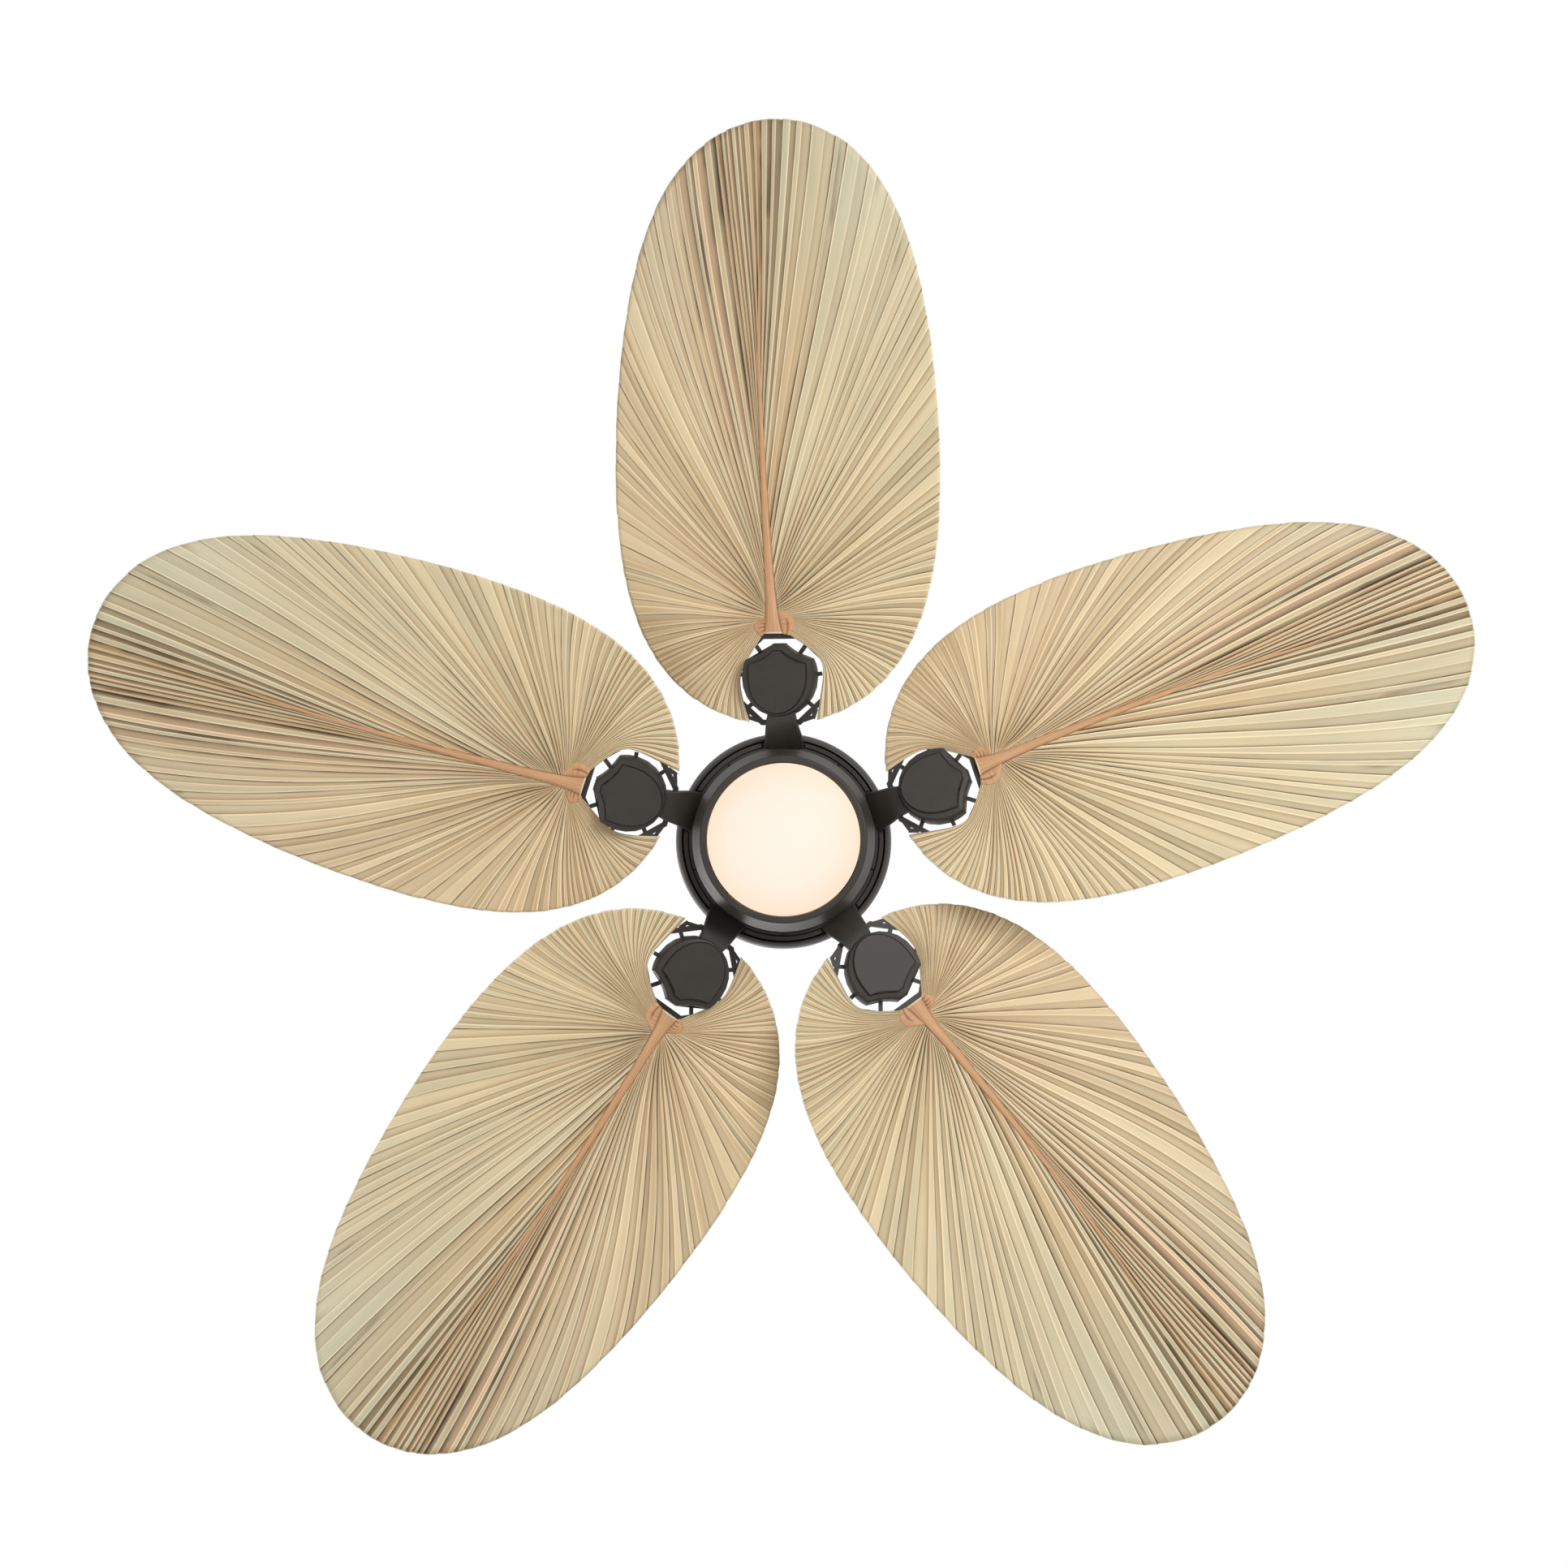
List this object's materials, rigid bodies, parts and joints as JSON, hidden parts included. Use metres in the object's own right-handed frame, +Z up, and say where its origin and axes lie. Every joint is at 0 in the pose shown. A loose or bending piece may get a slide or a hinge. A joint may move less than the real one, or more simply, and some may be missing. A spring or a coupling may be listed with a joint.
{
  "type": "ceiling fan",
  "caption": "Ceiling fan with pleated palm-leaf blades on shield-ended irons, a round opal light under the motor, and a downrod that hangs from a ball joint in a canopy.",
  "frame": {"origin": "middle of the bracket's top face, where it meets the ceiling", "axes": "+Z up into the ceiling along the downrod, +Y along the first blade"},
  "size_m": [1.2664, 1.2205, 0.333],
  "materials": {
    "bronze": "satin oil-rubbed bronze paint",
    "bronze_hub": "satin oil-rubbed bronze paint",
    "leaf": "dried pleated palm leaf, matte with a faint waxy sheen",
    "opal": "satin opal diffuser, lit from behind",
    "zinc": "zinc-plated pressed steel",
    "cast_aluminium": "as cast",
    "bright_steel": "bright plated steel",
    "lamination": "stacked electrical steel",
    "copper_wire": "varnished copper wire",
    "bronze_cage": "pressed brass cage",
    "black_plastic": "moulded black plastic",
    "white_plastic": "moulded white plastic",
    "circuit_board": "white solder mask",
    "led": "yellow phosphor"
  },
  "bodies": {
    "ceiling_mount": {"hanger_bracket": "zinc", "receiver": "black_plastic", "canopy": "bronze", "canopy_screws": "bright_steel", "canopy_cover": "bronze"},
    "hanging_motor": {"hanger_ball": "black_plastic", "ball_pin": "bright_steel", "ball_set_screw": "bright_steel", "downrod": "bronze", "motor_coupling": "zinc", "clevis_pin": "bright_steel", "hairpin_clip": "bright_steel", "coupling_set_screws": "bright_steel", "yoke_cover": "bronze", "motor_housing": "bronze", "housing_screws": "bright_steel", "motor_shaft": "bright_steel", "stator_core": "lamination", "stator_windings": "copper_wire", "inner_races": "bright_steel", "light_plate": "zinc", "shaft_nut": "bright_steel", "light_ring": "bronze", "light_screws": "bright_steel", "led_driver": "white_plastic", "led_carrier": "zinc", "led_board": "circuit_board", "led_chips": "led"},
    "bearing_cages": {"ball_cages": "bronze_cage", "bearing_balls": "bright_steel"},
    "rotor": {"rotor_upper_shell": "cast_aluminium", "rotor_lower_shell": "cast_aluminium", "rotor_core": "lamination", "outer_races": "bright_steel", "rotor_bolts": "bright_steel", "hub_cover": "bronze_hub", "iron_screws": "bright_steel", "blade_screws": "bright_steel", "blade_iron_1": "bronze", "blade_iron_2": "bronze", "blade_iron_3": "bronze", "blade_iron_4": "bronze", "blade_iron_5": "bronze", "blade_frame_1": "bronze_hub", "blade_frame_2": "bronze_hub", "blade_frame_3": "bronze_hub", "blade_frame_4": "bronze_hub", "blade_frame_5": "bronze_hub", "palm_leaf_1": "leaf", "palm_leaf_2": "leaf", "palm_leaf_3": "leaf", "palm_leaf_4": "leaf", "palm_leaf_5": "leaf"},
    "light_diffuser": {"diffuser": "opal"}
  },
  "joints": [
    {"name": "hanger_swing", "type": "hinge", "parent": "ceiling_mount", "child": "hanging_motor", "pos_m": [0, 0, -0.038], "axis": [1, 0, 0], "range_deg": [-6, 6]},
    {"name": "rotor_spin", "type": "hinge", "parent": "hanging_motor", "child": "rotor", "pos_m": [0, 0, -0.22], "axis": [0, 0, 1], "continuous": true},
    {"name": "cage_spin", "type": "hinge", "parent": "hanging_motor", "child": "bearing_cages", "pos_m": [0, 0, -0.22], "axis": [0, 0, 1], "continuous": true},
    {"name": "diffuser_twist", "type": "hinge", "parent": "hanging_motor", "child": "light_diffuser", "pos_m": [0, 0, -0.31], "axis": [0, 0, -1], "range_deg": [0, 26]}
  ],
  "couplings": [
    {"joint": "cage_spin", "follows": "rotor_spin", "ratio": 0.618}
  ]
}
